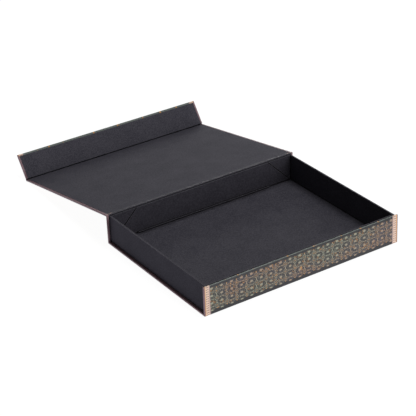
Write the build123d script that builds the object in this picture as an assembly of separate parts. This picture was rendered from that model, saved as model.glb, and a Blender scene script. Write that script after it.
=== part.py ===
from build123d import *
import math
import os

# A book-style manuscript box that folds flat: a five-panel hard cover wrapped in paper,
# with a shallow black tray standing on its base panel. Modelled as it lies open.
# X runs along the front, +Y points from the front to the spine, and +Z is up.
# The origin is the centre of the base panel's underside. All sizes are in mm.

# Hard cover
case_width = 320.0
case_depth = 243.0
front_top = 43.0
spine_top = 44.6
board_thickness = 2.0
cover_thickness = 0.25
lining_thickness = 0.25
turn_in_depth = 15.0
lining_margin = 2.8
corner_fold_gap = 0.3

# Lid hinge, a fold of paper along the spine's top outer edge
lid_hinge_rise = 0.6
lid_hinge_gap = 1.2
lid_closed_clearance = 0.4

# Closing flap, which hangs over the front panel when the box is shut
flap_height = 41.6
flap_fold_angle = 63.7
flap_front_clearance = 0.6
flap_hinge_clearance = 0.3
flap_hinge_radius = 1.0

# Tray
case_overhang = 4.0
tray_top = 43.4
side_wall_board = 1.5
centre_wall_board = 1.5
gusset_board = 1.1
tray_paper_thickness = 0.25
floor_lining_thickness = 0.3
tape_thickness = 0.3
tape_end_margin = 6.0
tape_edge_margin = 5.0
crease_groove = 1.4
foot_hinge_height = 3.5
foot_strip_thickness = 0.3
foot_strip_lap = 2.0
foot_strip_reach = 5.0

# Hidden closure: magnets in the flap meet steel plates in the front panel
magnet_length = 20.0
magnet_width = 10.0
magnet_thickness = 1.2
magnet_spacing = 200.0
magnet_height = 24.0

# Stacks of layers
panel_stack = board_thickness + 2 * cover_thickness
lined_stack = panel_stack + lining_thickness
outer_fold_depth = lined_stack - cover_thickness / 2
laminate = cover_thickness + lining_thickness
hem_span = (laminate, lined_stack)
half_width = case_width / 2
half_depth = case_depth / 2


def block(x_span, y_span, z_span):
    """A box between two limits along each axis."""
    size = [high - low for low, high in (x_span, y_span, z_span)]
    middle = [(high + low) / 2 for low, high in (x_span, y_span, z_span)]
    return Pos(*middle) * Box(*size)


def centred(half_length):
    return (-half_length, half_length)


def extruded_along_x(points, half_length, rounded=()):
    """A section drawn in Y and Z, with some corners rounded, run from side to side.

    rounded pairs a corner's place in the list with its radius.
    """
    outline = make_face(Polyline(*points, close=True))
    for place, radius in rounded:
        corner = Vector(*points[place])
        nearest = outline.vertices().sort_by_distance(corner)[0]
        outline = fillet(nearest, radius)
    section = Plane(origin=(-half_length, 0, 0), x_dir=(0, 1, 0), z_dir=(1, 0, 0)) * outline
    return extrude(section, 2 * half_length, dir=(1, 0, 0))


# Cover panels
# A panel is drawn flat: x across the case, y along its run, z from its outer face inwards.


def panel_board(start, stop):
    side = half_width - cover_thickness
    return block(centred(side), (start, stop), (cover_thickness, cover_thickness + board_thickness))


def panel_cover(run, start, stop, free_edge, near_wrap=0.0):
    """The paper round one board: its outer face, its edges and the turned-in margins.

    near_wrap is the thickness of paper turned over the board's near end, if any.
    """
    wrap_end = stop + cover_thickness if free_edge else stop
    bare_end = wrap_end - turn_in_depth if free_edge else wrap_end
    board_face = cover_thickness + board_thickness
    outer_sheet = block(centred(half_width), (start - near_wrap if near_wrap else 0, run),
                        (0, cover_thickness))
    wrap = block(centred(half_width), (start - near_wrap, wrap_end), (0, panel_stack))
    bare_face = block(
        centred(half_width - turn_in_depth), (start, bare_end), (board_face, panel_stack)
    )
    return outer_sheet + (wrap - panel_board(start, stop) - bare_face)


def panel_lining(start, stop, free_edge, hems=()):
    """The black sheet inside a panel, which also fills the space between the turn-ins.

    hems are the ends where it turns down over the board's edge, into the fold's groove.
    """
    wrap_end = stop + cover_thickness if free_edge else stop
    bare_end = wrap_end - turn_in_depth if free_edge else wrap_end
    sheet_end = wrap_end - lining_margin if free_edge else wrap_end
    board_face = cover_thickness + board_thickness
    fill = block(
        centred(half_width - turn_in_depth), (start, bare_end), (board_face, panel_stack)
    )
    sheet = block(
        centred(half_width - lining_margin), (start, sheet_end), (panel_stack, lined_stack)
    )
    lining = fill + sheet
    if "near" in hems:
        lining += block(centred(half_width), (start - lining_thickness, start), hem_span)
    if "far" in hems:
        lining += block(centred(half_width), (stop, stop + lining_thickness), hem_span)
    return lining


base_plane = Plane(origin=(0, -half_depth, 0))
front_plane = Plane(origin=(0, -half_depth, cover_thickness), x_dir=(-1, 0, 0), z_dir=(0, 1, 0))
spine_plane = Plane(origin=(0, half_depth, cover_thickness), x_dir=(1, 0, 0), z_dir=(0, -1, 0))

base_start = panel_stack + corner_fold_gap
base_stop = case_depth - panel_stack - corner_fold_gap
front_stop = front_top - 2 * cover_thickness
spine_stop = spine_top - cover_thickness

# Lid: where it turns, how far it slopes down to the table and how it lies when shut
hinge_y = half_depth - cover_thickness / 2
hinge_z = spine_top + lid_hinge_rise
closed_slope = math.atan(
    (hinge_z - max(tray_top, front_top) - lid_closed_clearance) / (hinge_y + half_depth)
)
lid_length = (
    hinge_y + half_depth + flap_front_clearance
    + outer_fold_depth * (1 - math.sin(closed_slope))
) / math.cos(closed_slope)

fold = math.radians(flap_fold_angle)
flap_outer_radius = flap_hinge_radius + 2 * cover_thickness
corner_setback = (flap_outer_radius - cover_thickness / 2) * math.tan(fold / 2)
table_reach = lid_length - corner_setback
table_drop = lined_stack - flap_outer_radius
lid_slope = math.asin(
    (hinge_z - flap_outer_radius) / math.hypot(table_reach, table_drop)
) - math.atan2(table_drop, table_reach)

lid_run = Vector(0, math.cos(lid_slope), -math.sin(lid_slope))
lid_inward = Vector(0, math.sin(lid_slope), math.cos(lid_slope))
lid_hinge = Vector(0, hinge_y, hinge_z)
lid_origin = lid_hinge + lid_run * lid_hinge_gap - lid_inward * lined_stack
lid_plane = Plane(origin=lid_origin, x_dir=(1, 0, 0), z_dir=lid_inward)

flap_hinge_gap = outer_fold_depth + lining_thickness + flap_hinge_clearance
flap_hinge = lid_hinge + lid_run * lid_length - lid_inward * outer_fold_depth
flap_run = lid_run * math.cos(fold) + lid_inward * math.sin(fold)
flap_inward = lid_inward * math.cos(fold) - lid_run * math.sin(fold)
flap_origin = flap_hinge + flap_run * flap_hinge_gap - flap_inward * (cover_thickness / 2)
flap_plane = Plane(origin=flap_origin, x_dir=(1, 0, 0), z_dir=flap_inward)

lid_stop = lid_length - lid_hinge_gap - flap_hinge_gap
flap_stop = flap_height - flap_hinge_gap - cover_thickness

# Magnets and the plates that they meet, at one height when the box is shut
flap_hinge_closed_z = (
    hinge_z - lid_length * math.sin(closed_slope) + outer_fold_depth * math.cos(closed_slope)
)
magnet_places = [-magnet_spacing / 2, magnet_spacing / 2]


def closure_pieces(run_place, depth_span):
    pieces = [
        block(
            (place - magnet_length / 2, place + magnet_length / 2),
            (run_place - magnet_width / 2, run_place + magnet_width / 2),
            depth_span,
        )
        for place in magnet_places
    ]
    return pieces


plate_run = magnet_height - cover_thickness
magnet_run = flap_hinge_closed_z - magnet_height - flap_hinge_gap
plates = closure_pieces(plate_run, (cover_thickness, cover_thickness + magnet_thickness))
board_inner_face = cover_thickness + board_thickness
magnets = closure_pieces(magnet_run, (board_inner_face - magnet_thickness, board_inner_face))

# Hinge papers
# The cover and the lining lie glued together across each fold, with no board between them.


def lid_hinge_paper():
    """The fold over the spine's top edge, up to the lid's rear edge."""
    spine_inner_y = half_depth - lined_stack
    lid_edge = lid_hinge + lid_run * (lid_hinge_gap - cover_thickness)
    lid_edge_below = lid_edge - lid_inward * laminate
    points = [
        (spine_inner_y, spine_top),
        (spine_inner_y, spine_top + laminate),
        (hinge_y - lid_hinge_gap, hinge_z),
        (lid_edge.Y, lid_edge.Z),
        (lid_edge_below.Y, lid_edge_below.Z),
        (half_depth, spine_top),
    ]
    return extruded_along_x(points, half_width, rounded=[(1, laminate * 0.8)])


def flap_hinge_paper():
    """The fold between the lid's far edge and the flap, bent round one radius."""
    lid_edge = lid_plane.from_local_coords((0, lid_stop, 0))
    flap_edge = flap_plane.from_local_coords((0, 0, 0))
    corner_run = flap_hinge_gap + cover_thickness / 2 * math.tan(fold / 2)
    inner_run = flap_hinge_gap - (laminate - cover_thickness / 2) * math.tan(fold / 2)
    outer_corner = lid_edge + lid_run * corner_run
    inner_corner = lid_edge + lid_run * inner_run + lid_inward * laminate
    lid_edge_inside = lid_edge + lid_inward * laminate
    flap_edge_inside = flap_edge + flap_inward * laminate
    corners = [
        lid_edge,
        outer_corner,
        flap_edge,
        flap_edge_inside,
        inner_corner,
        lid_edge_inside,
    ]
    points = [(corner.Y, corner.Z) for corner in corners]
    bends = [(1, flap_hinge_radius + laminate), (4, flap_hinge_radius)]
    return extruded_along_x(points, half_width, rounded=bends)


# Tray
# Its side walls stand on the base's turn-ins, and the end walls are stuck to the standing
# panels. Each end wall is a centre board and two corner gussets, parted by diagonal creases
# that let the tray fold flat.
wall_outer_x = half_width - case_overhang
wall_thickness = side_wall_board + 2 * tray_paper_thickness
wall_inner_x = wall_outer_x - wall_thickness
front_panel_face = -half_depth + panel_stack
spine_panel_face = half_depth - lined_stack
floor_top = panel_stack + floor_lining_thickness
crease_leg = tray_top - floor_top
end_wall_thickness = centre_wall_board + 2 * tray_paper_thickness


def side_wall_board_solid(side):
    inner = wall_inner_x + tray_paper_thickness
    outer = wall_outer_x - tray_paper_thickness
    span = sorted((side * inner, side * outer))
    return block(span, (front_panel_face, spine_panel_face),
                 (panel_stack, tray_top - tray_paper_thickness))


def side_wall_paper(side):
    span = sorted((side * wall_inner_x, side * wall_outer_x))
    outside = block(span, (front_panel_face, spine_panel_face), (panel_stack, tray_top))
    return outside - side_wall_board_solid(side)


def centre_outline(skin):
    """Centre board seen from the front, grown by skin: long at the foot, short at the top."""
    shift = (crease_groove / 2 + tray_paper_thickness - skin) * math.sqrt(2)
    foot = floor_top + foot_hinge_height - skin
    top = tray_top - tray_paper_thickness + skin
    half_foot = wall_inner_x - (foot - floor_top) - shift
    half_top = wall_inner_x - (top - floor_top) - shift
    return [(-half_foot, foot), (half_foot, foot), (half_top, top), (-half_top, top)]


def gusset_outline(skin, side):
    """Corner gusset seen from the front, grown by skin: a right triangle, point down."""
    shift = (crease_groove / 2 + tray_paper_thickness - skin) * math.sqrt(2)
    corner_gap = crease_groove / 2 + tray_paper_thickness - skin
    top = tray_top - tray_paper_thickness + skin
    inner_top = wall_inner_x - (top - floor_top) + shift
    outer = wall_inner_x - corner_gap
    foot = floor_top + shift + corner_gap
    return [(side * inner_top, top), (side * outer, top), (side * outer, foot)]


def upright(points, back_depth, front_depth):
    """An end wall piece, from its X and Z outline and its depths from the panel behind it."""
    outline = make_face(Polyline(*points, close=True))
    section = Plane(origin=(0, -back_depth, 0), x_dir=(1, 0, 0), z_dir=(0, -1, 0)) * outline
    return extrude(section, front_depth - back_depth, dir=(0, -1, 0))


def end_wall_boards():
    """The centre board and the two gussets, measured from the face of the paper behind."""
    start = tray_paper_thickness
    centre = upright(centre_outline(0), start, start + centre_wall_board)
    left = upright(gusset_outline(0, -1), start, start + gusset_board)
    right = upright(gusset_outline(0, 1), start, start + gusset_board)
    return centre, left, right


def end_wall_paper():
    """The black paper round the three boards, which dips into the creases between them."""
    web = block(centred(wall_inner_x), (-2 * tray_paper_thickness, 0), (floor_top, tray_top))
    skin = tray_paper_thickness
    centre = upright(centre_outline(skin), 0, end_wall_thickness)
    gusset_depth = gusset_board + 2 * tray_paper_thickness
    left = upright(gusset_outline(skin, -1), 0, gusset_depth)
    right = upright(gusset_outline(skin, 1), 0, gusset_depth)
    paper = web + centre + left + right
    for board in end_wall_boards():
        paper -= board
    return paper


def end_wall_tape():
    """The sticky sheet that holds the centre board to the panel behind it."""
    half_length = wall_inner_x - crease_leg - tape_end_margin
    heights = (floor_top + tape_edge_margin, tray_top - tape_edge_margin)
    return block(centred(half_length), (0, tape_thickness), heights)


def foot_strip():
    """The paper strip that hinges the centre board's foot to the floor."""
    face = -end_wall_thickness
    points = [
        (face, floor_top),
        (face, floor_top + foot_hinge_height + foot_strip_lap),
        (face - foot_strip_thickness, floor_top + foot_hinge_height + foot_strip_lap),
        (face - foot_strip_thickness, floor_top + foot_strip_thickness),
        (face - foot_strip_reach, floor_top + foot_strip_thickness),
        (face - foot_strip_reach, floor_top),
    ]
    return extruded_along_x(points, wall_inner_x - crease_leg)


def floor_lining():
    """The floor sheet, stepped down between the base's turn-ins."""
    fill = block(
        centred(half_width - turn_in_depth),
        (-half_depth + base_start, -half_depth + base_stop),
        (board_inner_face, panel_stack),
    )
    sheet = block(
        centred(wall_inner_x), (front_panel_face, spine_panel_face), (panel_stack, floor_top)
    )
    return fill + sheet


back_wall_place = Pos(0, spine_panel_face - tape_thickness, 0)
front_wall_place = Pos(0, front_panel_face + tape_thickness, 0) * Rot(0, 0, 180)

parts = {
    "base_board": base_plane * panel_board(base_start, base_stop),
    "base_cover_paper": base_plane * panel_cover(case_depth, base_start, base_stop, False),
    "front_board": front_plane * panel_board(0, front_stop),
    "front_cover_paper": front_plane * panel_cover(front_top - cover_thickness, 0, front_stop, True),
    "spine_board": spine_plane * panel_board(0, spine_stop),
    "spine_cover_paper": spine_plane * panel_cover(spine_stop, 0, spine_stop, False),
    "spine_lining": spine_plane * panel_lining(panel_stack, spine_stop, False),
    "lid_board": lid_plane * panel_board(0, lid_stop),
    "lid_cover_paper": lid_plane * panel_cover(lid_stop, 0, lid_stop, False, cover_thickness),
    "lid_lining": lid_plane * panel_lining(0, lid_stop, False, ("far",)),
    "flap_board": flap_plane * panel_board(0, flap_stop),
    "flap_cover_paper": flap_plane * panel_cover(flap_stop + cover_thickness, 0, flap_stop, True),
    "flap_lining": flap_plane * panel_lining(0, flap_stop, True, ("near",)),
    "lid_hinge_paper": lid_hinge_paper(),
    "flap_hinge_paper": flap_hinge_paper(),
    "floor_lining": floor_lining(),
    "left_wall_board": side_wall_board_solid(-1),
    "left_wall_paper": side_wall_paper(-1),
    "right_wall_board": side_wall_board_solid(1),
    "right_wall_paper": side_wall_paper(1),
}

for plate in plates:
    parts["front_board"] -= front_plane * plate
for magnet in magnets:
    parts["flap_board"] -= flap_plane * magnet
parts["front_catch_plates"] = Compound([front_plane * plate for plate in plates])
parts["flap_magnets"] = Compound([flap_plane * magnet for magnet in magnets])

for name, place in (("back", back_wall_place), ("front", front_wall_place)):
    centre, left, right = end_wall_boards()
    if name == "front":
        left, right = right, left
    parts[f"{name}_wall_board"] = place * centre
    parts[f"{name}_left_gusset_board"] = place * left
    parts[f"{name}_right_gusset_board"] = place * right
    parts[f"{name}_wall_paper"] = place * end_wall_paper()
    parts[f"{name}_wall_tape"] = place * end_wall_tape()
    parts[f"{name}_foot_strip"] = place * foot_strip()

os.makedirs("parts", exist_ok=True)
for name, shape in parts.items():
    export_step(shape, f"parts/{name}.step")

print("lid slope at rest", round(math.degrees(lid_slope), 3))
print("lid slope when shut", round(math.degrees(closed_slope), 3))
print("lid hinge", round(hinge_y, 4), round(hinge_z, 4))
print("flap hinge", round(flap_hinge.Y, 4), round(flap_hinge.Z, 4))
print("lid length", round(lid_length, 3), "floor top", floor_top)
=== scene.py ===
import logging
import math
from dataclasses import dataclass, field
from enum import Enum

import bmesh
import bpy
from mathutils import Matrix, Vector


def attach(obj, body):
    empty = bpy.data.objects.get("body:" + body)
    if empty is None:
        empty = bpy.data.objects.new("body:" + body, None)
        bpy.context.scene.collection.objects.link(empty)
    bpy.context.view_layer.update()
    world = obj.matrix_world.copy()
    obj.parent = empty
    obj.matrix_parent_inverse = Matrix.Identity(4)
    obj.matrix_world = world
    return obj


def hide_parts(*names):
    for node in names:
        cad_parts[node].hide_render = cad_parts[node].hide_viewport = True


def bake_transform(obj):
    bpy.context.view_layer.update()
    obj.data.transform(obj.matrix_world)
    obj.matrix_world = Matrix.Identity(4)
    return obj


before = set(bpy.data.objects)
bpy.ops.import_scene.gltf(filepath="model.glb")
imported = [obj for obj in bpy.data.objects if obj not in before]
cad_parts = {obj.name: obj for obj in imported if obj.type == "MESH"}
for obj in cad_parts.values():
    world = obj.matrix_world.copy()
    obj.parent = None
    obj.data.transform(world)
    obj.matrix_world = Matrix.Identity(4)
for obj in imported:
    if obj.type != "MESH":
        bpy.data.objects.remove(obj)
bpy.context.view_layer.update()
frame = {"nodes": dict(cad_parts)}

MM = 0.001
SHARP_ANGLE = math.radians(35)
SOFT_EDGE_STEPS = 2
NOISE_SPAN = (0.3, 0.7)
WHITE = "FFFFFF"

log = logging.getLogger("manuscript_box")


def linear(hex_colour: str) -> tuple[float, float, float, float]:
    """Turns an sRGB hex colour to the linear values that shaders take.

    Args:
        hex_colour: six hex digits, such as "C9A0A8".

    Returns:
        Red, green, blue and an alpha of 1, linear.
    """
    channels = [int(hex_colour[i:i + 2], 16) / 255 for i in (0, 2, 4)]
    curve = [c / 12.92 if c <= 0.04045 else ((c + 0.055) / 1.055) ** 2.4 for c in channels]
    return (*curve, 1.0)


class Graph:
    """The nodes of one new material, or of the world."""

    def __init__(self, owner: bpy.types.Material | bpy.types.World) -> None:
        """Starts with an empty graph.

        Args:
            owner: the material or world that takes the nodes.
        """
        owner.use_nodes = True
        self.owner = owner
        self.tree = owner.node_tree
        self.tree.nodes.clear()

    @classmethod
    def of_material(cls, name: str) -> "Graph":
        """Starts the graph of a new material of that name."""
        return cls(bpy.data.materials.new(name))

    def add(self, kind: str, *inputs: object, **settings: object) -> bpy.types.Node:
        """Adds a node with its settings and links.

        Args:
            kind: the node's type, without its ShaderNode prefix.
            inputs: what the first sockets take, in order: a value, a node or a socket.
            settings: more sockets, by name or identifier, and the node's own properties.

        Returns:
            The new node.
        """
        node = self.tree.nodes.new("ShaderNode" + kind)
        filled = list(zip(node.inputs, inputs))
        for name, value in settings.items():
            named = [s for s in node.inputs if name in (s.identifier, s.name.replace(" ", "_"))]
            if named:
                filled.append((named[0], value))
            else:
                setattr(node, name, value)
        for socket, value in filled:
            if isinstance(value, bpy.types.Node):
                value = next(out for out in value.outputs if out.enabled)
            if isinstance(value, bpy.types.NodeSocket):
                self.tree.links.new(value, socket)
            else:
                socket.default_value = value
        return node


# Sizes and places


@dataclass(frozen=True)
class PanelFrame:
    """Where a flat panel stands: its outer near edge, and the ways it runs and faces."""

    origin: Vector
    run: Vector
    inward: Vector

    def place(self, y: float, z: float) -> Vector:
        """A point in millimetres, from the distances along the run and inwards."""
        return self.origin + self.run * y + self.inward * z

    def matrix(self) -> Matrix:
        """Works out how the panel is placed.

        Returns:
            The change from its own millimetres to metres in the shared frame.
        """
        across = self.run.cross(self.inward)
        turned = Matrix((across, self.run, self.inward)).transposed().to_4x4()
        return Matrix.Scale(MM, 4) @ Matrix.Translation(self.origin) @ turned


@dataclass(frozen=True)
class CaseSizes:
    """The hard cover's sizes in millimetres and degrees, the same as in the solid model."""

    width: float = 320.0
    depth: float = 243.0
    front_top: float = 43.0
    spine_top: float = 44.6
    board: float = 2.0
    cover: float = 0.25
    lining: float = 0.25
    turn_in: float = 15.0
    lining_margin: float = 2.8
    tray_top: float = 43.4
    hinge_rise: float = 0.6
    lid_gap: float = 1.2
    closed_clearance: float = 0.4
    flap_height: float = 41.6
    flap_angle: float = 63.7
    front_clearance: float = 0.6
    flap_clearance: float = 0.3
    flap_radius: float = 1.0

    @property
    def stack(self) -> float:
        """Thickness of a board in its cover paper."""
        return self.board + 2 * self.cover

    @property
    def lined(self) -> float:
        """Thickness of a covered board with its lining."""
        return self.stack + self.lining

    @property
    def laminate(self) -> float:
        """Thickness of cover paper and lining glued together."""
        return self.cover + self.lining

    @property
    def half_width(self) -> float:
        """From the middle to either side edge."""
        return self.width / 2

    @property
    def half_depth(self) -> float:
        """From the middle to the front and to the spine."""
        return self.depth / 2

    @property
    def outer_fold(self) -> float:
        """From the lining's face to the middle of the cover paper."""
        return self.lined - self.cover / 2

    @property
    def flap_gap(self) -> float:
        """From the flap's fold to the board on either side of it."""
        return self.outer_fold + self.lining + self.flap_clearance

    @property
    def hinge(self) -> Vector:
        """The line that the lid turns about."""
        return Vector((0, self.half_depth - self.cover / 2, self.spine_top + self.hinge_rise))

    @property
    def lid_length(self) -> float:
        """How long the lid is, so that it lies over the tray when shut.

        Returns:
            The distance from the lid's hinge to the flap's.
        """
        reach = self.hinge.y + self.half_depth
        drop = self.hinge.z - self.tray_top - self.closed_clearance
        slope = math.atan(drop / reach)
        return (reach + self.front_clearance
                + self.outer_fold * (1 - math.sin(slope))) / math.cos(slope)

    @property
    def lid_slope(self) -> float:
        """How steeply the open lid runs down to the table.

        Returns:
            The angle in radians.
        """
        outer_radius = self.flap_radius + 2 * self.cover
        half_fold = math.radians(self.flap_angle) / 2
        reach = self.lid_length - (outer_radius - self.cover / 2) * math.tan(half_fold)
        drop = self.lined - outer_radius
        climb = self.hinge.z - outer_radius
        return math.asin(climb / math.hypot(reach, drop)) - math.atan2(drop, reach)

    @property
    def lid_stop(self) -> float:
        """Length of the lid's board."""
        return self.lid_length - self.lid_gap - self.flap_gap

    @property
    def flap_stop(self) -> float:
        """Length of the flap's board."""
        return self.flap_height - self.flap_gap - self.cover

    def base_frame(self) -> PanelFrame:
        """The base, which runs from the front to the spine."""
        return PanelFrame(Vector((0, -self.half_depth, 0)), Vector((0, 1, 0)), Vector((0, 0, 1)))

    def front_frame(self) -> PanelFrame:
        """The front panel, which runs up from the base."""
        return PanelFrame(Vector((0, -self.half_depth, 0)), Vector((0, 0, 1)), Vector((0, 1, 0)))

    def spine_frame(self) -> PanelFrame:
        """The spine, which runs up from the base."""
        return PanelFrame(Vector((0, self.half_depth, 0)), Vector((0, 0, 1)), Vector((0, -1, 0)))

    def lid_frame(self) -> PanelFrame:
        """Places the open lid.

        Returns:
            Its frame, which runs back and down to the table.
        """
        run = Vector((0, math.cos(self.lid_slope), -math.sin(self.lid_slope)))
        inward = Vector((0, math.sin(self.lid_slope), math.cos(self.lid_slope)))
        return PanelFrame(self.hinge + run * self.lid_gap - inward * self.lined, run, inward)

    def flap_frame(self) -> PanelFrame:
        """Places the flap of the open lid.

        Returns:
            Its frame, which runs up from the lid's far edge.
        """
        lid = self.lid_frame()
        fold = math.radians(self.flap_angle)
        run = lid.run * math.cos(fold) + lid.inward * math.sin(fold)
        inward = lid.inward * math.cos(fold) - lid.run * math.sin(fold)
        fold_line = self.hinge + lid.run * self.lid_length - lid.inward * self.outer_fold
        origin = fold_line + run * self.flap_gap - inward * (self.cover / 2)
        return PanelFrame(origin, run, inward)


# Finishes


@dataclass(frozen=True)
class PrintedCoverPaper:
    """Coated paper with an all-over print: a trellis of curved lozenges with rosettes.

    The coating gives a soft sheen. The sheet's side edges carry
    a gold line and a peach band of small dots, and what is turned in is mauve. Lengths are in
    millimetres, as the sheet's own coordinates are. A printed line is a pair: where its middle
    lies on its shape's own scale, and how far it reaches on either side.
    """

    half_width: float
    name: str = "printed_cover_paper"
    mauve: str = "8C6F75"
    gold_line: str = "DDA768"
    peach: str = "F0D2BA"
    band_dot: str = "7A5A54"
    band_edge: str = "B39A93"
    ground: str = "2D2D2D"
    sage: str = "636457"
    sage_light: str = "9E9E88"
    gold: str = "C49055"
    pale: str = "A89078"
    lilac: str = "625B5E"
    turned_grey: str = "6A716D"
    line_start: float = 1.6
    band_start: float = 2.6
    band_stop: float = 8.0
    field_start: float = 9.6
    near_margin: float = 5.6
    far_margin: float = 3.6
    lozenge_width: float = 15.6
    lozenge_height: float = 10.9
    dot_pitch: float = 3.4
    dot_radius: float = 0.75
    band_columns: tuple[float, float] = (4.1, 6.4)
    border_row: float = 1.2
    lace_pitch: float = 2.5
    lace_spread: float = 0.85
    lace_line: tuple[float, float] = (0.07, 0.12)
    lace_bead: float = 0.12
    golden_share: float = 0.14
    petals: float = 6.0
    petal_depth: float = 0.17
    vine_gap: tuple[float, float] = (1.0, 0.22)
    vine_line: tuple[float, float] = (1.0, 0.1)
    rosette_gap: tuple[float, float] = (0.5, 0.16)
    rosette_line: tuple[float, float] = (0.46, 0.07)
    rosette_eye: tuple[float, float] = (0.0, 0.13)
    knot: tuple[float, float] = (2.0, 0.1)
    tint_pitch: float = 95.0
    tint_range: tuple[float, float] = (0.42, 0.58)
    flecks_per_mm: float = 0.09
    fleck_range: tuple[float, float] = (0.6, 0.64)
    free_edge: float = 0.2
    fibres_per_mm: float = 1.4
    fade: tuple[float, float] = (0.93, 1.04)
    tooth: float = 0.12
    tooth_mm: float = 0.05
    roughness: float = 0.46

    def material(self) -> bpy.types.Material:
        """Builds the printed paper.

        Returns:
            The new material.
        """
        g = Graph.of_material(self.name)
        sheet = g.add("SeparateXYZ", g.add("UVMap", uv_map="sheet"))
        ends = g.add("SeparateXYZ", g.add("UVMap", uv_map="ends"))
        across, along = sheet.outputs["X"], sheet.outputs["Y"]
        near, far = ends.outputs["X"], ends.outputs["Y"]
        from_side = g.add("Math", self.half_width, g.add("Math", across, operation="ABSOLUTE"),
                          operation="SUBTRACT")
        colour = self.print_field(g, across, along)
        scallop = g.add("Math", g.add("Math", across, 2 * math.pi / self.lozenge_width,
                                      operation="MULTIPLY"), operation="COSINE")
        rows = g.add("Math", g.add("Math", near, self.near_margin, operation="SUBTRACT"),
                     g.add("Math", far, self.far_margin, operation="SUBTRACT"),
                     operation="MINIMUM")
        in_field = g.add("Math", rows, scallop, operation="GREATER_THAN")
        colour = g.add("Mix", in_field, A_Color=linear(self.ground), B_Color=colour,
                       data_type="RGBA")
        colour = self.dots(g, colour, self.gold, across, rows, self.border_row,
                           self.lozenge_width)
        colour = self.turned_end(g, colour, across, far)
        bands = ((self.field_start, self.band_edge), (self.band_stop, self.peach),
                 (self.band_start, self.gold_line), (self.line_start, self.mauve))
        for edge, shade in bands:
            inside = g.add("Math", from_side, edge, operation="LESS_THAN")
            colour = g.add("Mix", inside, A_Color=colour, B_Color=linear(shade),
                           data_type="RGBA")
            if shade == self.peach:
                for column in self.band_columns:
                    colour = self.dots(g, colour, self.band_dot, along, from_side, column,
                                       self.dot_pitch)
        fibre = g.add("TexNoise", g.add("UVMap", uv_map="sheet"), Scale=self.fibres_per_mm,
                      Detail=3.0)
        faded = g.add("MapRange", fibre, *NOISE_SPAN, *self.fade)
        colour = g.add("Mix", 1.0, A_Color=colour, B_Color=faded, data_type="RGBA",
                       blend_type="MULTIPLY")
        grain = g.add("Bump", Height=fibre, Strength=self.tooth, Distance=self.tooth_mm * MM)
        shader = g.add("BsdfPrincipled", colour, Roughness=self.roughness, Normal=grain)
        g.add("OutputMaterial", shader)
        return g.owner

    def print_field(self, g: Graph, across: bpy.types.NodeSocket,
                    along: bpy.types.NodeSocket) -> bpy.types.Node:
        """Draws the trellis, its rosettes and the small fill between them.

        Args:
            g: the material's nodes.
            across: millimetres from the sheet's middle.
            along: millimetres from the panel's middle.

        Returns:
            The node that gives the colour.
        """
        place = g.add("CombineXYZ", across, along)
        waves = [g.add("Math", g.add("Math", way, math.pi / pitch, operation="MULTIPLY"),
                       operation="SINE")
                 for way, pitch in ((across, self.lozenge_width), (along, self.lozenge_height))]
        sizes = [g.add("Math", wave, operation="ABSOLUTE") for wave in waves]
        lattice = g.add("Math", sizes[0], sizes[1], operation="ADD")
        radius = g.add("VectorMath", g.add("CombineXYZ", waves[0], waves[1]),
                       operation="LENGTH").outputs["Value"]
        angle = g.add("Math", waves[1], waves[0], operation="ARCTAN2")
        petals = g.add("Math", g.add("Math", angle, self.petals, operation="MULTIPLY"),
                       operation="COSINE")
        flower = g.add("Math", petals, self.petal_depth, radius, operation="MULTIPLY_ADD")
        tint = g.add("TexNoise", place, Scale=1 / self.tint_pitch, Detail=1.0)
        warm = g.add("MapRange", tint, *self.tint_range)
        cell = g.add("TexVoronoi", place, Scale=1 / self.lace_pitch, Randomness=self.lace_spread)
        spark = g.add("SeparateXYZ", cell.outputs["Color"])
        inks = g.add("Mix", warm, A_Color=linear(self.sage), B_Color=linear(self.lilac),
                     data_type="RGBA")
        golden = g.add("Math", spark.outputs["X"], 1 - self.golden_share,
                       operation="GREATER_THAN")
        inks = g.add("Mix", golden, A_Color=inks, B_Color=linear(self.gold), data_type="RGBA")
        edges = g.add("TexVoronoi", place, Scale=1 / self.lace_pitch,
                      Randomness=self.lace_spread, feature="DISTANCE_TO_EDGE")
        lace = g.add("MapRange", edges, *self.lace_line, 1.0, 0.0)
        colour = g.add("Mix", lace, A_Color=linear(self.ground), B_Color=inks, data_type="RGBA")
        bead = g.add("Math", cell.outputs["Distance"], self.lace_bead, operation="LESS_THAN")
        colour = g.add("Mix", bead, A_Color=colour, B_Color=inks, data_type="RGBA")
        vines = g.add("Mix", warm, A_Color=linear(self.sage_light), B_Color=linear(self.pale),
                      data_type="RGBA")
        lines = ((lattice, self.vine_gap, linear(self.ground)),
                 (lattice, self.vine_line, vines),
                 (flower, self.rosette_gap, linear(self.ground)),
                 (flower, self.rosette_line, vines),
                 (flower, self.rosette_eye, linear(self.gold)),
                 (lattice, self.knot, vines))
        for shape, line, ink in lines:
            drawn = g.add("Math", shape, *line, operation="COMPARE")
            colour = g.add("Mix", drawn, A_Color=colour, B_Color=ink, data_type="RGBA")
        return colour

    def dots(self, g: Graph, under: bpy.types.Node, ink: str, way: bpy.types.NodeSocket,
             row: bpy.types.NodeSocket, middle: float, pitch: float) -> bpy.types.Node:
        """Lays a row of small dots over a colour.

        Args:
            g: the material's nodes.
            under: the colour below.
            ink: the dots' colour.
            way: the distance along the row.
            row: the distance across the row.
            middle: where the row's middle is.
            pitch: from one dot to the next.

        Returns:
            The node that gives the colour.
        """
        step = g.add("Math", way, pitch / 2, operation="PINGPONG")
        offset = g.add("Math", row, middle, operation="SUBTRACT")
        reach = g.add("VectorMath", g.add("CombineXYZ", step, offset),
                      operation="LENGTH").outputs["Value"]
        inside = g.add("Math", reach, self.dot_radius, operation="LESS_THAN")
        return g.add("Mix", inside, A_Color=under, B_Color=linear(ink), data_type="RGBA")

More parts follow.
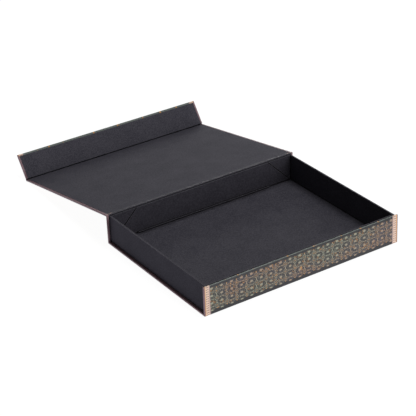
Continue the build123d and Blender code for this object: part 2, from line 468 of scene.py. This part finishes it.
    def turned_end(self, g: Graph, under: bpy.types.Node, across: bpy.types.NodeSocket,
                   far: bpy.types.NodeSocket) -> bpy.types.Node:
        """Colours the paper beyond a free edge: grey-green, with flecks of the next motifs.

        Args:
            g: the material's nodes.
            under: the colour before the edge.
            across: millimetres from the sheet's middle.
            far: millimetres left before the free edge.

        Returns:
            The node that gives the colour.
        """
        flecks = g.add("TexNoise", g.add("CombineXYZ", across, 0.0), Scale=self.flecks_per_mm,
                       Detail=2.0)
        shown = g.add("MapRange", flecks, *self.fleck_range)
        turned = g.add("Mix", shown, A_Color=linear(self.turned_grey),
                       B_Color=linear(self.gold), data_type="RGBA")
        beyond = g.add("Math", far, self.free_edge, operation="LESS_THAN")
        return g.add("Mix", beyond, A_Color=under, B_Color=turned, data_type="RGBA")


@dataclass(frozen=True)
class DyedPaper:
    """Black paper dyed right through and left uncoated.

    It scatters light with almost no gloss. Its fibres show as a fine mottle, drawn coarser than
    the real ones, and the sheet clouds a little over a few centimetres. Folded edges are painted
    paler, partly rubbed wear and partly a painted highlight, and creases get painted shade.
    """

    name: str
    light: str
    dark: str
    fibre_mm: float = 1.7
    cloud_mm: float = 30.0
    cloud_share: float = 0.2
    shade_range: tuple[float, float] = (0.49, 0.71)
    # Paler colour of folded edges: partly rubbed wear, partly a painted highlight.
    rub_and_highlight: str = "7D7B82"
    rub_and_highlight_mm: float = 0.8
    rub_and_highlight_turn: tuple[float, float] = (0.99, 0.85)
    rub_and_highlight_share: float = 0.5
    # Painted shade in creases and corners: how far occlusion is sought, its range, and how dark it
    # gets.
    painted_shade_mm: float = 2.2
    painted_shade_open: tuple[float, float] = (0.5, 0.93)
    painted_shade_share: float = 0.12
    tooth: float = 0.25
    tooth_mm: float = 0.08
    roughness: float = 0.78
    roughness_spread: float = 0.06
    sheen_level: float = 0.2

    def material(self) -> bpy.types.Material:
        """Builds the dyed paper.

        Returns:
            The new material.
        """
        g = Graph.of_material(self.name)
        place = g.add("TexCoord").outputs["Object"]
        fibre = g.add("TexNoise", place, Scale=1 / (self.fibre_mm * MM), Detail=3.0,
                      Roughness=0.65)
        cloud = g.add("TexNoise", place, Scale=1 / (self.cloud_mm * MM), Detail=2.0)
        both = g.add("Math", cloud, self.cloud_share, fibre, operation="MULTIPLY_ADD")
        shade = g.add("MapRange", both, *self.shade_range)
        colour = g.add("Mix", shade, A_Color=linear(self.dark), B_Color=linear(self.light),
                       data_type="RGBA")
        # Folded edges painted paler where the rounded normal turns away: partly rubbed wear, partly
        # a painted highlight.
        softened = g.add("Bevel", self.rub_and_highlight_mm * MM, samples=4)
        facing = g.add("VectorMath", softened, g.add("NewGeometry").outputs["Normal"],
                       operation="DOT_PRODUCT").outputs["Value"]
        worn_and_highlit = g.add("MapRange", facing, *self.rub_and_highlight_turn, 0.0, self.rub_and_highlight_share)
        colour = g.add("Mix", worn_and_highlit, A_Color=colour, B_Color=linear(self.rub_and_highlight),
                       data_type="RGBA")
        # Painted shade: the colour darkens in creases and corners where ambient occlusion finds
        # nearby surfaces.
        reached = g.add("AmbientOcclusion", Distance=self.painted_shade_mm * MM, samples=6)
        depth = g.add("MapRange", reached.outputs["AO"], *self.painted_shade_open, self.painted_shade_share,
                      1.0)
        colour = g.add("Mix", 1.0, A_Color=colour, B_Color=depth, data_type="RGBA",
                       blend_type="MULTIPLY")
        tooth = g.add("Bump", Height=fibre, Strength=self.tooth, Distance=self.tooth_mm * MM)
        gloss = g.add("MapRange", fibre, *NOISE_SPAN, self.roughness - self.roughness_spread,
                      self.roughness + self.roughness_spread)
        shader = g.add("BsdfPrincipled", colour, Roughness=gloss, Normal=tooth,
                       Specular_IOR_Level=self.sheen_level)
        g.add("OutputMaterial", shader)
        return g.owner


@dataclass(frozen=True)
class Greyboard:
    """Pressed waste-paper board: matt warm grey with dark and light specks."""

    name: str = "pressed_greyboard"
    base: str = "8B867D"
    speck: str = "6A655D"
    speck_mm: float = 1.3
    speck_range: tuple[float, float] = (0.52, 0.66)
    press: float = 0.3
    press_mm: float = 0.1
    roughness: float = 0.9

    def material(self) -> bpy.types.Material:
        """Builds the board.

        Returns:
            The new material.
        """
        g = Graph.of_material(self.name)
        place = g.add("TexCoord").outputs["Object"]
        specks = g.add("TexNoise", place, Scale=1 / (self.speck_mm * MM), Detail=5.0)
        shade = g.add("MapRange", specks, *self.speck_range)
        colour = g.add("Mix", shade, A_Color=linear(self.base), B_Color=linear(self.speck),
                       data_type="RGBA")
        press = g.add("Bump", Height=specks, Strength=self.press, Distance=self.press_mm * MM)
        shader = g.add("BsdfPrincipled", colour, Roughness=self.roughness, Normal=press)
        g.add("OutputMaterial", shader)
        return g.owner


@dataclass(frozen=True)
class StickySheet:
    """Double-sided tape: a cloudy white film whose adhesive has a wet shine."""

    name: str = "adhesive_sheet"
    film: str = "D9D6CB"
    glue: str = "C9C3AE"
    blot_mm: float = 4.0
    roughness: tuple[float, float] = (0.2, 0.45)

    def material(self) -> bpy.types.Material:
        """Builds the tape.

        Returns:
            The new material.
        """
        g = Graph.of_material(self.name)
        place = g.add("TexCoord").outputs["Object"]
        blots = g.add("TexNoise", place, Scale=1 / (self.blot_mm * MM), Detail=2.0)
        colour = g.add("Mix", blots, A_Color=linear(self.film), B_Color=linear(self.glue),
                       data_type="RGBA")
        gloss = g.add("MapRange", blots, *NOISE_SPAN, *self.roughness)
        shader = g.add("BsdfPrincipled", colour, Roughness=gloss)
        g.add("OutputMaterial", shader)
        return g.owner


@dataclass(frozen=True)
class RolledMetal:
    """Bare or plated sheet metal: its rolling lines draw the highlights out one way."""

    name: str
    colour: str
    roughness: float
    roughness_spread: float = 0.08
    line_mm: float = 0.6
    stretch: float = 25.0

    def material(self) -> bpy.types.Material:
        """Builds the metal.

        Returns:
            The new material.
        """
        g = Graph.of_material(self.name)
        place = g.add("TexCoord").outputs["Object"]
        drawn = g.add("Mapping", place, Scale=(1 / self.stretch, 1.0, 1.0))
        lines = g.add("TexNoise", drawn, Scale=1 / (self.line_mm * MM), Detail=3.0)
        gloss = g.add("MapRange", lines, *NOISE_SPAN, self.roughness - self.roughness_spread,
                      self.roughness + self.roughness_spread)
        shader = g.add("BsdfPrincipled", linear(self.colour), Roughness=gloss, Metallic=1.0)
        g.add("OutputMaterial", shader)
        return g.owner


@dataclass(frozen=True)
class Finishes:
    """The finishes that the sub-assemblies share."""

    cover: bpy.types.Material
    lining: bpy.types.Material
    tray: bpy.types.Material
    board: bpy.types.Material
    tape: bpy.types.Material
    steel: bpy.types.Material
    magnet: bpy.types.Material


def dress(node: str, finish: bpy.types.Material, edge_mm: float = 0.0) -> None:
    """Gives a CAD node its finish, and softens its edges as far as paper does.

    Args:
        node: the CAD node's name.
        finish: what it is made of.
        edge_mm: how far the edges are rounded, or 0 to leave them sharp.
    """
    piece = frame["nodes"][node]
    piece.data.materials.clear()
    piece.data.materials.append(finish)
    if edge_mm:
        soft = piece.modifiers.new("soft_edges", "BEVEL")
        soft.width = edge_mm * MM
        soft.segments = SOFT_EDGE_STEPS
        soft.limit_method = "ANGLE"
        soft.angle_limit = SHARP_ANGLE
    log.info("dressed %s in %s", node, finish.name)


def settle(piece: bpy.types.Object, matrix: Matrix, slot: str, *nodes: str) -> None:
    """Puts a new mesh in the shared frame, with even shading, in the place of its CAD nodes.

    Args:
        piece: the object, in its own millimetres.
        matrix: the change to metres in the shared frame.
        slot: the record's material slot; not used.
        nodes: the CAD nodes that it stands for.
    """
    piece.data.transform(matrix)
    piece.data.set_sharp_from_angle(angle=SHARP_ANGLE)
    bpy.context.scene.collection.objects.link(piece)
    if nodes:
        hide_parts(*nodes)


# Hard cover


class End(Enum):
    """How the cover paper ends on a panel."""

    OPEN = "goes on flat into the fold beside it"
    CAPPED = "folds over the board's end"
    TURNED = "turns in over a free edge"


@dataclass
class WrappedPanel:
    """Cover paper round one board: outer face, rounded edges and turned-in margins."""

    name: str
    body: str
    frame: PanelFrame
    sizes: CaseSizes
    start: float
    stop: float
    near: End
    far: End
    edge_radius: float = 0.5
    edge_steps: int = 3
    touching: float = 1e-4
    cut_tolerance: float = 1e-5

    def build(self, finish: bpy.types.Material) -> bpy.types.Object:
        """Makes the paper and lets it ride on its body.

        Args:
            finish: the printed paper.

        Returns:
            The new piece, which stands for the CAD node of the same paper.
        """
        bm = bmesh.new()
        self.make_slab(bm)
        self.round_edges(bm)
        self.cut_window(bm)
        self.lay_out_print(bm)
        mesh = bpy.data.meshes.new(self.name)
        bm.to_mesh(mesh)
        bm.free()
        mesh.materials.append(finish)
        piece = bpy.data.objects.new(self.name, mesh)
        settle(piece, self.frame.matrix(), "cover_paper",
               self.name.replace("_wrap", "_cover_paper"))
        paper = piece.modifiers.new("paper", "SOLIDIFY")
        paper.thickness = self.sizes.cover * MM
        paper.offset = -1
        paper.use_even_offset = True
        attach(piece, self.body)
        log.info("built %s, %.1f mm along its run", self.name, self.stop - self.start)
        return piece

    def make_slab(self, bm: bmesh.types.BMesh) -> None:
        """Draws the covered board's six faces.

        Args:
            bm: the empty mesh that takes them.
        """
        half, depth = self.sizes.half_width, self.sizes.stack
        corners = [bm.verts.new((x, y, z)) for z in (0, depth)
                   for y in (self.start, self.stop) for x in (-half, half)]
        sides = ((0, 2, 3, 1), (4, 5, 7, 6), (0, 1, 5, 4), (2, 6, 7, 3), (0, 4, 6, 2), (1, 3, 7, 5))
        for side in sides:
            bm.faces.new([corners[i] for i in side])

    def round_edges(self, bm: bmesh.types.BMesh) -> None:
        """Rounds the edges that the paper is folded over.

        Args:
            bm: the covered board.
        """
        half, depth = self.sizes.half_width, self.sizes.stack
        folded = []
        for edge in bm.edges:
            first, second = (v.co for v in edge.verts)
            middle = (first + second) / 2
            at_side = abs(abs(middle.x) - half) < self.touching
            if at_side and abs(first.y - second.y) > self.touching:
                folded.append(edge)
            elif middle.y == self.stop and self.far is End.TURNED:
                folded.append(edge)
            elif middle.y == self.start and self.near is End.CAPPED and middle.z < depth:
                folded.append(edge)
        bmesh.ops.bevel(bm, geom=folded, offset=self.edge_radius, segments=self.edge_steps,
                        profile=0.5, affect="EDGES", clamp_overlap=True)

    def cut_window(self, bm: bmesh.types.BMesh) -> None:
        """Opens the bare part of the inner face, the open ends, and mitres the free corners.

        Args:
            bm: the covered board, with its edges rounded.
        """
        half, depth, turn = self.sizes.half_width, self.sizes.stack, self.sizes.turn_in
        inner = [((side * (half - turn), 0, 0), (1, 0, 0)) for side in (-1, 1)]
        window_stop = self.stop
        if self.far is End.TURNED:
            window_stop -= turn
            inner.append(((0, window_stop, 0), (0, 1, 0)))
            inner += [((side * half, self.stop, 0), (side, -1, 0)) for side in (-1, 1)]
        for place, way in inner:
            upper = [f for f in bm.faces if f.calc_center_median().z > depth / 2]
            edges = {e for f in upper for e in f.edges}
            verts = {v for f in upper for v in f.verts}
            bmesh.ops.bisect_plane(bm, geom=[*verts, *edges, *upper], dist=self.cut_tolerance,
                                   plane_co=place, plane_no=Vector(way).normalized())
        gone = []
        for face in bm.faces:
            middle = face.calc_center_median()
            flat = middle.z > depth - self.touching
            if flat and abs(middle.x) < half - turn and middle.y < window_stop:
                gone.append(face)
            elif self.near is End.OPEN and abs(middle.y - self.start) < self.touching:
                gone.append(face)
            elif self.far is End.OPEN and abs(middle.y - self.stop) < self.touching:
                gone.append(face)
        bmesh.ops.delete(bm, geom=gone, context="FACES")

    def lay_out_print(self, bm: bmesh.types.BMesh) -> None:
        """Unfolds the paper, so that each point knows its millimetres on the flat sheet.

        Args:
            bm: the wrap, which takes the UV maps "sheet" and "ends".
        """
        half, middle_z = self.sizes.half_width, self.sizes.stack / 2
        facing = 1 if self.frame.run.cross(self.frame.inward).x > 0 else -1
        sheet, ends = bm.loops.layers.uv.new("sheet"), bm.loops.layers.uv.new("ends")
        for face in bm.faces:
            face.smooth = True
            centre = face.calc_center_median()
            reaches = {"side": half - abs(centre.x)}
            if self.far is End.TURNED:
                reaches["far"] = self.stop - centre.y
            if self.near is End.CAPPED:
                reaches["near"] = centre.y - self.start
            nearest = min(reaches, key=reaches.get)
            for loop in face.loops:
                x, y, z = loop.vert.co
                turned = z > middle_z
                if nearest == "side":
                    x = math.copysign(2 * half + z - abs(x) if turned else abs(x) + z, x)
                elif nearest == "far":
                    y = 2 * self.stop + z - y if turned else y + z
                else:
                    y = y - z
                loop[sheet].uv = (facing * x, y - (self.start + self.stop) / 2)
                loop[ends].uv = (y - self.start, self.stop - y)


@dataclass
class FoldPaper:
    """Cover paper and lining glued together over a fold: a section run from side to side."""

    name: str
    sizes: CaseSizes
    outline: list[Vector]
    lined_edges: set[int]
    plain_margin: float = 3.0

    def build(self, cover: bpy.types.Material, lining: bpy.types.Material) -> bpy.types.Object:
        """Makes the fold's paper, with the cover's turn-ins showing at both ends.

        Args:
            cover: the printed paper, on the outer side.
            lining: the black paper, on the inner side.

        Returns:
            The new piece, in place, before it rides or bends.
        """
        half = self.sizes.half_width
        stations = (-half, -half + self.sizes.lining_margin, half - self.sizes.lining_margin, half)
        bm = bmesh.new()
        sheet, ends = bm.loops.layers.uv.new("sheet"), bm.loops.layers.uv.new("ends")
        rings = [[bm.verts.new((x, p.y, p.z)) for p in self.outline] for x in stations]
        count = len(self.outline)
        for lane, (low, high) in enumerate(zip(rings, rings[1:])):
            for i in range(count):
                j = (i + 1) % count
                face = bm.faces.new((low[i], low[j], high[j], high[i]))
                lined = i in self.lined_edges
                face.material_index = 1 if lined and lane == 1 else 0
                for loop in face.loops:
                    x = loop.vert.co.x
                    if lined:
                        x = math.copysign(2 * half + self.sizes.stack - abs(x), x)
                    loop[sheet].uv = (x, 0)
                    loop[ends].uv = (self.plain_margin, self.plain_margin)
        for ring in (rings[0], rings[-1]):
            face = bm.faces.new(ring)
            for loop in face.loops:
                loop[sheet].uv = (math.copysign(half + self.sizes.cover, loop.vert.co.x), 0)
                loop[ends].uv = (self.plain_margin, self.plain_margin)
        for face in bm.faces:
            face.smooth = True
        bmesh.ops.recalc_face_normals(bm, faces=bm.faces)
        mesh = bpy.data.meshes.new(self.name)
        bm.to_mesh(mesh)
        bm.free()
        mesh.materials.append(cover)
        mesh.materials.append(lining)
        log.info("built %s from a section of %d points", self.name, count)
        return bpy.data.objects.new(self.name, mesh)


@dataclass
class HardCover:
    """The five wrapped panels, the two folds between them, and what is hidden inside."""

    sizes: CaseSizes
    finishes: Finishes
    corner_radius: float = 0.4
    corner_steps: int = 4
    bend_steps: int = 12
    nose_steps: int = 6
    lining_edge: float = 0.1
    plate_edge: float = 0.15
    magnet_edge: float = 0.2
    fold_relief: float = 0.05

    def build(self) -> None:
        """Makes the papers and dresses the boards, linings and closure."""
        self.build_wraps()
        self.build_lid_fold()
        self.build_flap_fold()
        for panel in ("base", "front", "spine", "lid", "flap"):
            dress(f"{panel}_board", self.finishes.board)
        for panel in ("spine", "lid", "flap"):
            dress(f"{panel}_lining", self.finishes.lining, self.lining_edge)
        dress("front_catch_plates", self.finishes.steel, self.plate_edge)
        dress("flap_magnets", self.finishes.magnet, self.magnet_edge)

    def build_wraps(self) -> None:
        """Makes the cover paper of each panel."""
        s = self.sizes
        wraps = (
            WrappedPanel("base_wrap", "root", s.base_frame(), s, s.stack, s.depth - s.stack,
                         End.OPEN, End.OPEN),
            WrappedPanel("front_wrap", "root", s.front_frame(), s, 0, s.front_top,
                         End.CAPPED, End.TURNED),
            WrappedPanel("spine_wrap", "root", s.spine_frame(), s, 0, s.spine_top,
                         End.CAPPED, End.OPEN),
            WrappedPanel("lid_wrap", "lid", s.lid_frame(), s, -s.cover, s.lid_stop,
                         End.CAPPED, End.OPEN),
            WrappedPanel("flap_wrap", "flap", s.flap_frame(), s, 0, s.flap_stop + s.cover,
                         End.OPEN, End.TURNED),
        )
        for wrap in wraps:
            wrap.build(self.finishes.cover)

    def build_lid_fold(self) -> None:
        """Makes the paper over the spine's top, in the two parts that meet at the lid's hinge.

        Each part ends in a round nose about the hinge, so that they still meet when it is shut.
        """
        s, pivot, lid = self.sizes, self.sizes.hinge, self.sizes.lid_frame()
        inner_y = s.half_depth - s.lined
        corner = Vector((0, inner_y + self.corner_radius,
                         s.spine_top + s.laminate - self.corner_radius))
        turns = [math.pi / 2 * i / self.corner_steps for i in range(self.corner_steps + 1)]
        rim = [corner + self.corner_radius * Vector((0, -math.cos(a), math.sin(a)))
               for a in turns]
        nose = self.nose(pivot, Vector((0, 1, 0)), Vector((0, 0, -1)))
        spine_side = [Vector((0, inner_y, s.spine_top)), *rim,
                      pivot - Vector((0, s.lid_gap, self.fold_relief)), pivot, *nose,
                      Vector((0, s.half_depth, s.spine_top))]
        lined = set(range(len(rim) + 2))
        paper = FoldPaper("lid_fold_spine_side", s, spine_side, lined)
        piece = paper.build(self.finishes.cover, self.finishes.lining)
        settle(piece, Matrix.Scale(MM, 4), "cover_paper", "lid_hinge_paper")
        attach(piece, "root")
        lid_nose = self.nose(pivot, -lid.run, -lid.inward)
        lid_side = [pivot, lid.place(0, s.lined), lid.place(0, s.stack),
                    lid.place(-s.cover, s.stack), lid.place(-s.cover, s.lined - s.laminate),
                    *reversed(lid_nose)]
        paper = FoldPaper("lid_fold_lid_side", s, lid_side, {0, 1})
        piece = paper.build(self.finishes.cover, self.finishes.lining)
        settle(piece, Matrix.Scale(MM, 4), "cover_paper")
        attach(piece, "lid")

    def nose(self, pivot: Vector, out: Vector, down: Vector) -> list[Vector]:
        """A quarter round about the hinge, kept below the other part's surface.

        Args:
            pivot: the hinge.
            out: the way it starts, past the slope of the open lid.
            down: the way it ends.

        Returns:
            The points of the quarter round.
        """
        first = self.sizes.lid_slope
        angles = [first + (math.pi / 2 - first) * i / self.nose_steps
                  for i in range(self.nose_steps + 1)]
        return [pivot + self.sizes.laminate * (out * math.cos(a) + down * math.sin(a))
                for a in angles]

    def build_flap_fold(self) -> None:
        """Makes the paper between the lid and the flap, bent round one radius."""
        s, lid, flap = self.sizes, self.sizes.lid_frame(), self.sizes.flap_frame()
        fold = math.radians(s.flap_angle)
        outer_radius = s.flap_radius + s.laminate
        straight = s.flap_gap + (s.cover / 2 - outer_radius) * math.tan(fold / 2)
        centre = lid.place(s.lid_stop + straight, outer_radius)
        turns = [fold * i / self.bend_steps for i in range(self.bend_steps + 1)]
        ways = [lid.run * math.sin(a) - lid.inward * math.cos(a) for a in turns]
        outer = [lid.place(s.lid_stop, 0), *(centre + way * outer_radius for way in ways),
                 flap.place(0, 0)]
        inner = [lid.place(s.lid_stop, s.laminate), *(centre + way * s.flap_radius for way in ways),
                 flap.place(0, s.laminate)]
        lined = set(range(len(outer), 2 * len(outer) - 1))
        paper = FoldPaper("flap_fold", s, outer + inner[::-1], lined)
        piece = paper.build(self.finishes.cover, self.finishes.lining)
        settle(piece, Matrix.Scale(MM, 4), "cover_paper", "flap_hinge_paper")
        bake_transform(piece)


# Tray


@dataclass
class FootStrip:
    """The paper strip at an end wall's foot: two creases with a soft ridge between them.

    Its path is drawn as pairs: out from the wall's face into the tray, and up from the floor.
    """

    name: str
    wall_face: float
    into_tray: int
    floor_top: float = 2.8
    half_length: float = 113.4
    paper: float = 0.3
    path: tuple[tuple[float, float], ...] = (
        (0.3, 5.5), (0.3, 3.75), (0.2, 3.5), (-0.9, 3.38), (-1.15, 3.1), (-0.9, 2.75),
        (0.4, 2.6), (0.95, 2.35), (1.1, 1.9), (1.05, 1.35), (0.5, 1.1), (-0.9, 0.98),
        (-1.15, 0.68), (-0.9, 0.38), (0.2, 0.32), (1.2, 0.3), (5.0, 0.3))

    def build(self, finish: bpy.types.Material) -> bpy.types.Object:
        """Makes the strip, which stands for the CAD node of the same name.

        Args:
            finish: the tray's paper.

        Returns:
            The new piece.
        """
        shown = [Vector((0, out, up)) for out, up in self.path]
        hidden = []
        for i, point in enumerate(shown):
            along = shown[min(i + 1, len(shown) - 1)] - shown[max(i - 1, 0)]
            hidden.append(point + Vector((0, along.z, -along.y)).normalized() * self.paper)
        outline = [Vector((0, self.wall_face + self.into_tray * p.y, self.floor_top + p.z))
                   for p in shown + hidden[::-1]]
        bm = bmesh.new()
        rings = [[bm.verts.new((x, p.y, p.z)) for p in outline]
                 for x in (-self.half_length, self.half_length)]
        for i, low in enumerate(rings[0]):
            j = (i + 1) % len(outline)
            bm.faces.new((low, rings[0][j], rings[1][j], rings[1][i]))
        for ring in rings:
            bm.faces.new(ring)
        for face in bm.faces:
            face.smooth = True
        bmesh.ops.recalc_face_normals(bm, faces=bm.faces)
        mesh = bpy.data.meshes.new(self.name)
        bm.to_mesh(mesh)
        bm.free()
        mesh.materials.append(finish)
        piece = bpy.data.objects.new(self.name, mesh)
        settle(piece, Matrix.Scale(MM, 4), "tray_paper", self.name.replace("_crease", "_strip"))
        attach(piece, "root")
        log.info("built %s, %.1f mm long", self.name, 2 * self.half_length)
        return piece


@dataclass
class Tray:
    """The shallow black tray: floor, side walls and the fold-flat end walls."""

    sizes: CaseSizes
    finishes: Finishes
    wall_thickness: float = 2.0
    tape: float = 0.3
    wall_edge: float = 0.35
    sheet_edge: float = 0.12

    def build(self) -> None:
        """Dresses the tray's boards, papers and hidden tapes."""
        for side in ("left", "right"):
            dress(f"{side}_wall_board", self.finishes.board)
            dress(f"{side}_wall_paper", self.finishes.tray, self.wall_edge)
        for end in ("back", "front"):
            dress(f"{end}_wall_board", self.finishes.board)
            dress(f"{end}_left_gusset_board", self.finishes.board)
            dress(f"{end}_right_gusset_board", self.finishes.board)
            dress(f"{end}_wall_paper", self.finishes.tray, self.sheet_edge)
            dress(f"{end}_wall_tape", self.finishes.tape)
        dress("floor_lining", self.finishes.lining)
        s, set_in = self.sizes, self.tape + self.wall_thickness
        strips = (FootStrip("back_foot_crease", s.half_depth - s.lined - set_in, -1),
                  FootStrip("front_foot_crease", -s.half_depth + s.stack + set_in, 1))
        for strip in strips:
            strip.build(self.finishes.tray)


# Studio


@dataclass
class Softbox:
    """One soft lamp, aimed at a point. Its lengths are in metres."""

    name: str
    place: tuple[float, float, float]
    target: tuple[float, float, float]
    size: float
    watts: float

    def build(self) -> None:
        """Adds the lamp."""
        lamp = bpy.data.lights.new(self.name, "AREA")
        lamp.shape = "DISK"
        lamp.size = self.size
        lamp.energy = self.watts
        holder = bpy.data.objects.new(self.name, lamp)
        holder.location = self.place
        aim = Vector(self.target) - Vector(self.place)
        holder.rotation_euler = aim.to_track_quat("-Z", "Y").to_euler()
        bpy.context.scene.collection.objects.link(holder)


@dataclass
class Studio:
    """A pale floor, soft light and a camera where the photographer's stood.

    Lengths are in metres where their names give no unit.
    """

    azimuth: float = -32.787
    elevation: float = 28.056
    roll: float = -2.421
    focal_pixels: float = 1562.1
    image_pixels: float = 416.0
    offset_mm: tuple[float, float, float] = (60.804, -48.121, 2169.31)
    sensor_mm: float = 36.0
    floor_radius: float = 6.0
    floor_sides: int = 96
    floor_drop_mm: float = 0.2
    floor_grey: str = "F4F4F4"
    floor_light: str = "F6F5FF"
    floor_glow: float = 1.12
    floor_bounce: float = 1.02
    glow_seen: float = 0.85
    glow_bounced: float = 0.7
    ambient: float = 0.11
    softboxes: list[Softbox] = field(default_factory=lambda: [
        Softbox("key_above", (0.5, 0.1, 2.1), (0.0, 0.05, 0.0), 1.2, 21.0),
        Softbox("sheen_back", (1.1, 1.7, 0.75), (0.1, 0.1, 0.0), 1.0, 9.0),
        Softbox("fill_front", (0.45, -2.4, 0.5), (0.0, -0.1, 0.03), 0.9, 25.5),
    ])

    def build(self) -> None:
        """Adds the floor, the lamps, the surroundings and the camera."""
        self.build_floor()
        self.build_world()
        for softbox in self.softboxes:
            softbox.build()
        self.build_camera()
        bpy.context.scene.view_settings.view_transform = "Standard"

    def build_floor(self) -> None:
        """Adds the floor: near white with the object's soft shadow, and clear from underneath."""
        bm = bmesh.new()
        bmesh.ops.create_circle(bm, cap_ends=True, segments=self.floor_sides,
                                radius=self.floor_radius)
        mesh = bpy.data.meshes.new("studio_floor")
        bm.to_mesh(mesh)
        bm.free()
        g = Graph.of_material("studio_floor")
        matt = g.add("BsdfDiffuse", linear(self.floor_grey))
        camera_ray = g.add("LightPath").outputs["Is Camera Ray"]
        strength = g.add("MapRange", camera_ray, 0.0, 1.0, self.floor_bounce, self.floor_glow)
        shade = g.add("Mix", camera_ray, A_Color=linear(self.floor_light),
                      B_Color=linear(WHITE), data_type="RGBA")
        glow = g.add("Emission", shade, strength)
        share = g.add("MapRange", camera_ray, 0.0, 1.0, self.glow_bounced, self.glow_seen)
        underneath = g.add("Math", camera_ray, g.add("NewGeometry").outputs["Backfacing"],
                           operation="MULTIPLY")
        top = g.add("MixShader", share, matt, glow)
        g.add("OutputMaterial", g.add("MixShader", underneath, top, g.add("BsdfTransparent")))
        mesh.materials.append(g.owner)
        floor = bpy.data.objects.new("studio_floor", mesh)
        bpy.context.scene.collection.objects.link(floor)
        floor.location.z = -self.floor_drop_mm * MM

    def build_world(self) -> None:
        """Surrounds the scene with dim even light that looks white to the camera."""
        g = Graph(bpy.data.worlds.new("studio"))
        camera_ray = g.add("LightPath").outputs["Is Camera Ray"]
        strength = g.add("MapRange", camera_ray, 0.0, 1.0, self.ambient, 1.0)
        g.add("OutputWorld", g.add("Background", linear(WHITE), strength))
        bpy.context.scene.world = g.owner

    def build_camera(self) -> None:
        """Adds the camera at the photograph's viewing angle."""
        turn, tilt, roll = (math.radians(a) for a in (self.azimuth, self.elevation, self.roll))
        back = Vector((math.sin(turn) * math.cos(tilt), -math.cos(turn) * math.cos(tilt),
                       math.sin(tilt)))
        right = (-back).cross(Vector((0, 0, 1))).normalized()
        up = right.cross(-back)
        rolled_right = right * math.cos(roll) + up * math.sin(roll)
        rolled_up = up * math.cos(roll) - right * math.sin(roll)
        axes = Matrix((rolled_right, rolled_up, back)).transposed()
        x, y, z = self.offset_mm
        place = (rolled_right * -x + rolled_up * -y + back * z) * MM
        lens = bpy.data.cameras.new("camera")
        lens.sensor_width = self.sensor_mm
        lens.lens = lens.sensor_width * self.focal_pixels / self.image_pixels
        camera = bpy.data.objects.new("camera", lens)
        camera.matrix_world = Matrix.Translation(place) @ axes.to_4x4()
        bpy.context.scene.collection.objects.link(camera)
        bpy.context.scene.camera = camera


def main() -> None:
    """Builds the studio, the hard cover and the tray."""
    logging.basicConfig(level=logging.INFO, format="%(message)s")
    sizes = CaseSizes()
    finishes = Finishes(
        cover=PrintedCoverPaper(sizes.half_width).material(),
        lining=DyedPaper("black_lining_paper", "4D4B53", "36353E", rub_and_highlight_share=0.15).material(),
        tray=DyedPaper("black_tray_paper", "413F47", "302E36").material(),
        board=Greyboard().material(),
        tape=StickySheet().material(),
        steel=RolledMetal("rolled_steel", "B9BABB", 0.35).material(),
        magnet=RolledMetal("nickel_plating", "C9C5BC", 0.22).material(),
    )
    Studio().build()
    HardCover(sizes, finishes).build()
    Tray(sizes, finishes).build()


if __name__ == "__main__":
    main()
